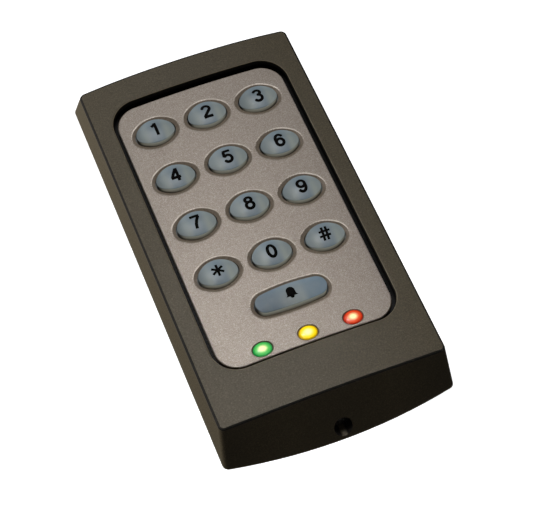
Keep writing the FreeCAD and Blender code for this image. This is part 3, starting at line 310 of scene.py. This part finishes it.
def lens(name, core, body, edge, strength):
    """A lit light pipe: a pale hot middle in a saturated body with a darker rim."""
    g = Graph(name)
    x, y, _ = g.split(g.where("Generated"))
    dx = g.math("MULTIPLY", g.math("SUBTRACT", x, 0.5), 2.0)
    dy = g.math("MULTIPLY", g.math("SUBTRACT", y, 0.5), 2.0)
    away = g.math("SQRT", g.math("ADD", g.math("MULTIPLY", dx, dx), g.math("MULTIPLY", dy, dy)))
    grain = g.noise(0.8 * MM, detail=2.0)
    spread = g.math("ADD", away, g.math("MULTIPLY", g.math("SUBTRACT", grain, 0.5), 0.08))
    colour = g.ramp(spread, [(0.10, core), (0.58, body), (0.88, edge)], "EASE")
    satin = g.bump(g.noise(0.4 * MM, detail=2.0), 0.003 * MM)
    return g.set(
        Base_Color=g.mix(1.0, colour, (0.3, 0.3, 0.3), "MULTIPLY"), Emission_Color=colour,
        Emission_Strength=strength, Roughness=0.15, Specular_IOR_Level=0.2, Normal=satin,
    )


def plain(name, colour, roughness=0.5, metallic=0.0, grain=0.6, depth=0.01, spread=0.25):
    """A moulded, turned or plated surface with fine grain and slight variation in its colour."""
    g = Graph(name)
    fine = g.noise(grain * MM, detail=3.0)
    wide = g.noise(grain * 12 * MM, detail=2.0)
    dark = tuple(c * (1 - spread) for c in colour)
    light = tuple(min(1.0, c * (1 + spread)) for c in colour)
    darker = g.ramp(fine, [(0.3, dark), (0.7, colour)])
    lighter = g.ramp(fine, [(0.3, colour), (0.7, light)])
    tone = g.mix(wide, darker, lighter)
    rough = g.ramp(fine, [(0.3, roughness + 0.08), (0.7, max(roughness - 0.08, 0.05))])
    return g.set(
        Base_Color=tone, Roughness=rough, Metallic=metallic, Normal=g.bump(fine, depth * MM),
    )


# The mat's black band is painted shade for the groove round the fascia.
SHADE_INSET = 2.5 * MM        # the mat is black from the fascia's edges in to here


def mat_silicone():
    """Milky silicone, black round its outside: painted shade for the groove round the fascia."""
    g = Graph("mat_silicone")
    x, y, _ = g.split(g.where())
    low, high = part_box("keypad_plate")
    # Painted shade: black round the mat's outside.
    shade_side = g.math("GREATER_THAN", g.math("ABSOLUTE", x), high.x - SHADE_INSET)
    shade_top = g.math("GREATER_THAN", y, high.y - SHADE_INSET)
    shade_bottom = g.math("LESS_THAN", y, low.y + SHADE_INSET)
    groove_shade = g.math("MAXIMUM", shade_side, g.math("MAXIMUM", shade_top, shade_bottom))
    cloud = g.noise(1 * MM, detail=3.0)
    milky = g.ramp(cloud, [(0.3, (0.50, 0.53, 0.52)), (0.7, (0.60, 0.63, 0.62))])
    ink = g.ramp(cloud, [(0.3, (0.004, 0.004, 0.004)), (0.7, (0.009, 0.009, 0.009))])
    return g.set(
        Base_Color=g.mix(groove_shade, milky, ink), Roughness=0.6, Specular_IOR_Level=0.2,
        Normal=g.bump(cloud, 0.01 * MM),
    )


TRACK_SCALE = 320.0           # scale of the brick pattern whose joints stand for tracks
TRACK_WIDTH = 0.08            # the size of those joints


def board_laminate():
    """Green solder mask with faint tracks under it, mottled by the laminate's weave."""
    g = Graph("board_laminate")
    tracks = g.node("ShaderNodeTexBrick", offset=0.5)
    tracks.inputs["Scale"].default_value = TRACK_SCALE
    tracks.inputs["Mortar Size"].default_value = TRACK_WIDTH
    g.link(g.where(), tracks.inputs["Vector"])
    weave = g.noise(0.4 * MM, detail=2.0)
    mask = g.ramp(weave, [(0.3, (0.012, 0.10, 0.04)), (0.7, (0.02, 0.15, 0.06))])
    colour = g.mix(g.math("MULTIPLY", tracks.outputs["Fac"], 0.6), mask, (0.05, 0.24, 0.09))
    ridges = g.bump(tracks.outputs["Fac"], 0.02 * MM)
    return g.set(Base_Color=colour, Roughness=0.3, Normal=ridges, Coat_Weight=0.3)


WIRE_PITCH = 0.25 * MM


def coil_copper():
    """Turns of enamelled wire that lie side by side."""
    g = Graph("coil_copper")
    x, y, _ = g.split(g.where())
    reach = g.math("MAXIMUM", g.math("ABSOLUTE", x), g.math("ABSOLUTE", y))
    turns = g.math("SINE", g.math("MULTIPLY", reach, 2 * math.pi / WIRE_PITCH))
    colour = g.ramp(turns, [(0.0, (0.24, 0.08, 0.02)), (0.6, (0.72, 0.32, 0.12))])
    return g.set(Base_Color=colour, Metallic=0.9, Roughness=0.3, Normal=g.bump(turns, 0.03 * MM))


def printed_ink():
    """Black screen-printed ink, slightly uneven."""
    g = Graph("printed_ink")
    uneven = g.noise(0.5 * MM, detail=3.0)
    colour = g.ramp(uneven, [(0.3, srgb(6, 6, 6)), (0.7, srgb(18, 16, 14))])
    film = g.bump(uneven, 0.004 * MM)
    return g.set(Base_Color=colour, Roughness=0.7, Specular_IOR_Level=0.03, Normal=film)


def floor_paper():
    """White paper that gives off its own light, for the photo's plain white ground."""
    g = Graph("floor_paper")
    fibre = g.noise(3 * MM, detail=3.0)
    colour = g.ramp(fibre, [(0.3, 0.86), (0.7, 0.9)])
    return g.set(
        Base_Color=colour, Roughness=0.9, Emission_Color=(1.0, 1.0, 1.0), Emission_Strength=0.85,
    )


def paint(node, material):
    """Give a CAD node's object a material in every one of its slots."""
    obj = NODES[node]
    if not obj.material_slots:
        obj.data.materials.append(material)
    for slot in obj.material_slots:
        slot.material = material
    for face in obj.data.polygons:
        face.use_smooth = True


def paint_all():
    """Give every CAD node its material, and give back the two that the soft pieces share."""
    black = plain("chassis_plastic", (0.012, 0.012, 0.012), 0.5)
    plate = plain("wall_plate_plastic", (0.018, 0.018, 0.019), 0.55, grain=0.5, depth=0.03)
    rubber = plain("seal_rubber", (0.02, 0.02, 0.02), 0.75, grain=0.8, depth=0.02)
    silicone = mat_silicone()
    chip = plain("chip_black", (0.02, 0.02, 0.022), 0.6, grain=0.3, depth=0.02)
    steel = plain("screw_steel", (0.55, 0.54, 0.52), 0.3, metallic=1.0, grain=0.4, spread=0.15)
    groups = [
        (cover_plastic(), ["front_cover"]),
        (fascia_silver(), ["keypad_plate"]),
        (black, ["inner_chassis"]),
        (plate, ["back_plate"]),
        (rubber, ["rear_seal", "cable_grommet"]),
        (silicone, ["keypad_mat"] + [f"dome_{k}" for k in KEYS]),
        (chip, ["microcontroller", "reader_chip", "buzzer"]),
        (steel, ["cover_screw", "chassis_screws", "board_screws", "terminal_screws"]),
        (plain("insert_brass", (0.6, 0.42, 0.16), 0.3, metallic=1.0, grain=0.4), ["screw_insert"]),
        (plain("can_aluminium", (0.68, 0.68, 0.7), 0.3, metallic=1.0), ["board_capacitors"]),
        (
            plain("terminal_green", (0.03, 0.22, 0.08), 0.35),
            ["terminal_block_left", "terminal_block_right"],
        ),
        (
            plain("lamp_white", (0.8, 0.78, 0.68), 0.4, spread=0.08),
            ["backlight_leds", "led_green", "led_yellow", "led_red"],
        ),
        (board_laminate(), ["main_board"]),
        (coil_copper(), ["antenna_coil"]),
        (
            key_plastic("key_plastic", (104, 116, 124), KEY_LOBES, (0.42, 0.44, 0.62), 0.38),
            [f"key_{k}" for k in KEYS if k != "bell"],
        ),
        (
            key_plastic("bell_plastic", (92, 108, 120), BELL_LOBES, (0.10, 0.42, 0.66), 0.55),
            ["key_bell"],
        ),
        (
            lens("lens_green", srgb(255, 253, 184), srgb(80, 186, 88), srgb(12, 118, 54), 1.0),
            ["lens_green"],
        ),
        (
            lens("lens_yellow", srgb(255, 252, 170), srgb(255, 222, 26), srgb(156, 118, 0), 0.95),
            ["lens_yellow"],
        ),
        (
            lens("lens_red", srgb(255, 246, 176), srgb(218, 74, 36), srgb(144, 20, 6), 0.95),
            ["lens_red"],
        ),
    ]
    for material, nodes in groups:
        for node in nodes:
            paint(node, material)
    return rubber, silicone


# ---- printed legends ---------------------------------------------------------------------------

STROKE = 1.02                 # millimetres, like the sizes in the drawings below
THIN_STROKE = 0.8             # the star's and hash's strokes, as a share of that
INK_PROUD = 0.02 * MM
INK_MESH = 0.35 * MM
LEGEND_RISE = 0.25 * MM       # a legend's middle above its key's middle, along Y
RAY_CLEAR = 5 * MM            # how far above a cap the rays that find its top start


def bow(x, y, across, up, start, end):
    """Points along part of an oval round (x, y), between two angles in degrees."""
    count = max(6, round(abs(end - start) / 12))
    turns = [math.radians(start + (end - start) * i / count) for i in range(count + 1)]
    return [(x + across * math.cos(t), y + up * math.sin(t)) for t in turns]


def turned(lines):
    """The same lines, half a turn round."""
    return [[(-x, -y) for x, y in line] for line in lines]


SIX = [
    bow(0, -0.85, 1.2, 1.26, 0, 360),
    bow(0.1, 0.2, 1.3, 1.91, 32, 180) + [(-1.2, -0.85)],
]

LEGENDS = {
    "0": [bow(0, 0, 1.2, 2.11, 0, 360)],
    "1": [[(0.4, -2.5), (0.4, 2.5)], [(0.4, 2.1), (-0.2, 1.5), (-0.95, 1.15)]],
    "2": [
        bow(0, 1.0, 1.2, 1.11, 168, -32) + [(-0.95, -1.7), (-1.15, -2.11)],
        [(-1.5, -2.11), (1.6, -2.11)],
    ],
    "3": [bow(-0.05, 1.16, 1.1, 0.95, 155, -90), bow(-0.05, -0.95, 1.22, 1.16, 90, -158)],
    "4": [[(0.7, -2.5), (0.7, 2.5)], [(0.55, 2.15), (-1.4, -1.15)], [(-1.6, -1.15), (1.6, -1.15)]],
    "5": [
        [(-1.15, 2.11), (1.35, 2.11)],
        [(-0.85, 2.1), (-1.1, -0.02)],
        bow(-0.05, -0.83, 1.25, 1.28, 142, -155),
    ],
    "6": SIX,
    "7": [[(-1.55, 2.11), (1.55, 2.11)], [(1.25, 1.95), (0.3, 0.4), (-0.25, -1.0), (-0.45, -2.5)]],
    "8": [bow(0, 1.18, 1.02, 0.93, 0, 360), bow(0, -0.92, 1.22, 1.19, 0, 360)],
    "9": turned(SIX),
    "star": [
        [(r * math.cos(t), r * math.sin(t)) for r in (-2.1, 2.1)]
        for t in (math.radians(30), math.radians(90), math.radians(150))
    ],
    "hash": [
        [(-0.85, -2.5), (-0.35, 2.5)], [(0.45, -2.5), (0.95, 2.5)],
        [(-1.75, 0.85), (1.95, 0.85)], [(-1.95, -0.85), (1.75, -0.85)],
    ],
}

BELL = [
    bow(0, 0.55, 1.42, 1.5, 0, 180) + [(-1.48, -0.7), (-1.95, -1.3), (1.95, -1.3), (1.48, -0.7)],
    bow(0, -1.25, 0.7, 0.75, 180, 360),
]


def stroke_outlines(line, width):
    """Outlines that together cover a line drawn with a pen: a bar per step, a disc per bend."""
    outlines = []
    for (x0, y0), (x1, y1) in zip(line, line[1:]):
        length = math.hypot(x1 - x0, y1 - y0)
        nx, ny = -(y1 - y0) / length * width / 2, (x1 - x0) / length * width / 2
        outlines.append([
            (x0 - nx, y0 - ny), (x1 - nx, y1 - ny), (x1 + nx, y1 + ny), (x0 + nx, y0 + ny),
        ])
    for x, y in line[1:-1]:
        outlines.append(bow(x, y, width / 2, width / 2, 0, 336))
    return outlines


def flat_print(outlines):
    """One flat mesh that covers every outline once, in metres."""
    points, faces = [], []
    for outline in outlines:
        faces.append(list(range(len(points), len(points) + len(outline))))
        points += [Vector(p) for p in outline]
    found, _, triangles, _, _, sources = delaunay_2d_cdt(points, [], faces, 1, 1e-4)
    kept = [t for t, source in zip(triangles, sources) if source]
    mesh = bmesh.new()
    corners = [mesh.verts.new((p.x * MM, p.y * MM, 0)) for p in found]
    for triangle in kept:
        mesh.faces.new([corners[i] for i in triangle])
    for vertex in [v for v in mesh.verts if not v.link_faces]:
        mesh.verts.remove(vertex)
    return mesh


def lay_on_key(flat, name, key):
    """Turn a flat print into one that lies on a key's domed top, a little proud of it."""
    low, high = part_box(f"key_{key}")
    centre = (low + high) / 2
    for _ in range(4):
        long_edges = [e for e in flat.edges if e.calc_length() > INK_MESH]
        if not long_edges:
            break
        bmesh.ops.subdivide_edges(flat, edges=long_edges, cuts=1)
        bmesh.ops.triangulate(flat, faces=flat.faces)
    cap = NODES[f"key_{key}"].data
    faces = [tuple(p.vertices) for p in cap.polygons]
    tree = BVHTree.FromPolygons([v.co for v in cap.vertices], faces)
    for vertex in flat.verts:
        x, y = centre.x + vertex.co.x, centre.y + LEGEND_RISE + vertex.co.y
        hit = tree.ray_cast(Vector((x, y, high.z + RAY_CLEAR)), Vector((0, 0, -1)))
        vertex.co = (x, y, hit[0].z + INK_PROUD)
    return new_object(flat, name)


def new_object(mesh, name):
    bmesh.ops.recalc_face_normals(mesh, faces=mesh.faces)
    data = bpy.data.meshes.new(name)
    mesh.to_mesh(data)
    mesh.free()
    for face in data.polygons:
        face.use_smooth = True
    obj = bpy.data.objects.new(name, data)
    bpy.context.scene.collection.objects.link(obj)
    return obj


def make_legends():
    ink = printed_ink()
    for key in KEYS:
        if key == "bell":
            outlines = BELL
        else:
            width = STROKE * (THIN_STROKE if key in ("star", "hash") else 1.0)
            outlines = [o for line in LEGENDS[key] for o in stroke_outlines(line, width)]
        obj = lay_on_key(flat_print(outlines), f"legend_{key}", key)
        obj.data.materials.append(ink)
        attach(obj, f"key_{key}")


# ---- soft pieces -------------------------------------------------------------------------------

def lathe(name, profile, centre, steps=64):
    """A turned form from a closed profile of (radius, height) points, in metres."""
    mesh = bmesh.new()
    rings = []
    for step in range(steps):
        turn = 2 * math.pi * step / steps
        rings.append([
            mesh.verts.new((centre.x + r * math.cos(turn), centre.y + r * math.sin(turn), z))
            for r, z in profile
        ])
    for ring, after in zip(rings, rings[1:] + rings[:1]):
        for i in range(len(profile)):
            j = (i + 1) % len(profile)
            mesh.faces.new([ring[i], after[i], after[j], ring[j]])
    return new_object(mesh, name)


def rounded(corners, radius, steps=4):
    """A closed profile with each of its corners rounded."""
    points = []
    for i, corner in enumerate(corners):
        here = Vector(corner)
        before = Vector(corners[i - 1]) - here
        after = Vector(corners[(i + 1) % len(corners)]) - here
        reach = min(radius, before.length / 2.2, after.length / 2.2)
        start, end = here + before.normalized() * reach, here + after.normalized() * reach
        for step in range(steps + 1):
            t = step / steps
            points.append(tuple(start.lerp(here, t).lerp(here.lerp(end, t), t)))
    return points


DOME_WALL = 0.6 * MM
DOME_PIN = 0.15 * MM          # radius of the pinhole in a dome's top
DOME_TOP = 0.653              # a dome's top radius as a share of its foot's
DOME_SHOULDER = 0.45          # its shoulder's height as a share of its own
DOME_SLOPE = 0.55 * MM        # how far the shoulder stands in from the foot, outside
DOME_SLOPE_INNER = 1.1 * MM   # and inside, where it is also lower
DOME_DROP_INNER = 0.2 * MM
DOME_ROUND = 0.22 * MM


def make_domes(silicone):
    """Soft silicone domes turned in place of the CAD domes, one for each key."""
    for key in KEYS:
        low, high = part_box(f"dome_{key}")
        foot = (high.x - low.x) / 2
        top = foot * DOME_TOP
        shoulder = low.z + (high.z - low.z) * DOME_SHOULDER
        under = high.z - DOME_WALL
        profile = rounded([
            (foot - DOME_WALL, low.z), (foot, low.z), (foot - DOME_SLOPE, shoulder), (top, high.z),
            (DOME_PIN, high.z), (DOME_PIN, under), (top - DOME_WALL, under),
            (foot - DOME_SLOPE_INNER, shoulder - DOME_DROP_INNER),
        ], DOME_ROUND)
        obj = lathe(f"silicone_dome_{key}", profile, (low + high) / 2)
        obj.data.materials.append(silicone)
        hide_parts(f"dome_{key}")
        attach(obj, STATIC_BODY)
        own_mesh(obj)


BUSH_RING = 1.8 * MM          # from the flange's edge in to the lip in the bore
BUSH_FLANGE = 0.85 * MM       # from the flange's edge in to the neck
BUSH_NECK = 1.85 * MM         # the neck's height
BUSH_LIP = 0.1 * MM           # how far the lip stands into the bore
BUSH_LIP_HALF = 0.35 * MM
BUSH_ROUND = 0.25 * MM


def make_grommet(rubber):
    """The cable's bush, with soft edges and a thin lip inside its bore."""
    low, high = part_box("cable_grommet")
    outer = (high.x - low.x) / 2
    lip = outer - BUSH_RING
    bore = lip + BUSH_LIP
    neck = outer - BUSH_FLANGE
    seat = low.z + BUSH_NECK
    middle = (low.z + seat) / 2
    profile = rounded([
        (bore, low.z), (neck, low.z), (neck, seat), (outer, seat), (outer, high.z),
        (bore, high.z), (bore, middle + BUSH_LIP_HALF), (lip, middle), (bore, middle - BUSH_LIP_HALF),
    ], BUSH_ROUND)
    obj = lathe("rubber_grommet", profile, (low + high) / 2, steps=96)
    obj.data.materials.append(rubber)
    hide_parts("cable_grommet")
    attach(obj, STATIC_BODY)


SEAL_WIDTH = 1.6 * MM
SEAL_CORNER = 3.0 * MM
SEAL_BEAD = 0.15 * MM         # the bead's height, and the rounding of every edge
SEAL_BEAD_PLACES = (0.65, 0.5, 0.35)
CORNER_STEPS = 12


def make_seal(rubber):
    """The flat ring behind the chassis, with rolled edges and a bead along its middle."""
    low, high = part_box("rear_seal")
    flat = high.z - SEAL_BEAD
    outside, crest, inside = (SEAL_WIDTH * place for place in SEAL_BEAD_PLACES)
    section = rounded([
        (0, low.z), (SEAL_WIDTH, low.z), (SEAL_WIDTH, flat), (outside, flat),
        (crest, high.z), (inside, flat), (0, flat),
    ], SEAL_BEAD)
    path = []
    for sx, sy, start in ((1, 1, 0), (-1, 1, 90), (-1, -1, 180), (1, -1, 270)):
        x = (high.x if sx > 0 else low.x) - sx * SEAL_CORNER
        y = (high.y if sy > 0 else low.y) - sy * SEAL_CORNER
        for step in range(CORNER_STEPS + 1):
            turn = math.radians(start + 90 * step / CORNER_STEPS)
            path.append((x, y, math.cos(turn), math.sin(turn)))
    mesh = bmesh.new()
    rings = [
        [
            mesh.verts.new((x + nx * (SEAL_CORNER - inset), y + ny * (SEAL_CORNER - inset), z))
            for inset, z in section
        ]
        for x, y, nx, ny in path
    ]
    for ring, after in zip(rings, rings[1:] + rings[:1]):
        for i in range(len(section)):
            j = (i + 1) % len(section)
            mesh.faces.new([ring[i], after[i], after[j], ring[j]])
    obj = new_object(mesh, "rubber_seal")
    obj.data.materials.append(rubber)
    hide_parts("rear_seal")
    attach(obj, STATIC_BODY)


# ---- floor, light and camera -------------------------------------------------------------------

CAMERA_AIM = Vector((-2.05, -15.54, 15.01)) * MM
CAMERA_TURN = math.radians(20.83)
CAMERA_RISE = math.radians(59.37)
CAMERA_ROLL = math.radians(-0.97)
CAMERA_DISTANCE = 543.4 * MM
CAMERA_LENS = 117.5
CAMERA_SENSOR = 36.0
CAMERA_NEAR = 10 * MM

OBJECT_MIDDLE = (0, 0, 0.01)
LOW_END = (-0.015, -0.075, 0.015)
# name, place, aim, size, power in watts, spread of the beam
LIGHTS = [
    ("overhead", (0.04, 0.32, 0.92), OBJECT_MIDDLE, (0.6, 0.5), 4.5, math.pi),
    ("left", (-0.42, 0.26, 0.02), OBJECT_MIDDLE, (0.3, 0.03), 2.3, math.pi),
    ("near_end", (-0.12, 0.2, 0.7), LOW_END, (0.1, 0.1), 0.009, math.radians(15)),
]
SKY_STRENGTH = 0.05
FLOOR_HALF = 12.0
FLOOR_GAP = 0.05 * MM         # the floor's place below the object


def make_camera():
    """The camera, at the place and lens that the photo's perspective gave."""
    flat = math.cos(CAMERA_RISE)
    back = Vector((
        -math.sin(CAMERA_TURN) * flat, -math.cos(CAMERA_TURN) * flat, math.sin(CAMERA_RISE),
    ))
    camera = bpy.data.objects.new("camera", bpy.data.cameras.new("camera"))
    camera.data.lens = CAMERA_LENS
    camera.data.sensor_width = CAMERA_SENSOR
    camera.data.clip_start = CAMERA_NEAR
    camera.location = CAMERA_AIM + back * CAMERA_DISTANCE
    turn = back.to_track_quat("Z", "Y").to_matrix().to_4x4()
    turn = turn @ Matrix.Rotation(CAMERA_ROLL, 4, "Z")
    camera.rotation_euler = turn.to_euler()
    bpy.context.scene.collection.objects.link(camera)
    bpy.context.scene.camera = camera


def area_light(name, place, aim, size, power, spread):
    data = bpy.data.lights.new(name, "AREA")
    data.shape = "RECTANGLE"
    data.size, data.size_y = size
    data.energy = power
    data.spread = spread
    light = bpy.data.objects.new(name, data)
    light.location = place
    light.rotation_euler = (Vector(place) - Vector(aim)).to_track_quat("Z", "Y").to_euler()
    bpy.context.scene.collection.objects.link(light)


def make_studio():
    for light in LIGHTS:
        area_light(*light)
    world = bpy.data.worlds.new("studio")
    world.use_nodes = True
    world.node_tree.nodes["Background"].inputs[0].default_value = (1, 1, 1, 1)
    world.node_tree.nodes["Background"].inputs[1].default_value = SKY_STRENGTH
    bpy.context.scene.world = world
    bpy.context.scene.view_settings.view_transform = "Standard"


def make_floor():
    mesh = bpy.data.meshes.new("floor")
    z = cad_low[2] - FLOOR_GAP
    corners = [(x * FLOOR_HALF, y * FLOOR_HALF, z) for x, y in ((-1, -1), (1, -1), (1, 1), (-1, 1))]
    mesh.from_pydata(corners, [], [(0, 1, 2, 3)])
    floor = bpy.data.objects.new("floor", mesh)
    bpy.context.scene.collection.objects.link(floor)
    floor.data.materials.append(floor_paper())
    floor.visible_diffuse = False
    floor.visible_glossy = False


make_camera()
make_studio()
make_floor()
rubber, silicone = paint_all()
make_legends()
make_domes(silicone)
make_grommet(rubber)
make_seal(rubber)

bpy.context.view_layer.update()
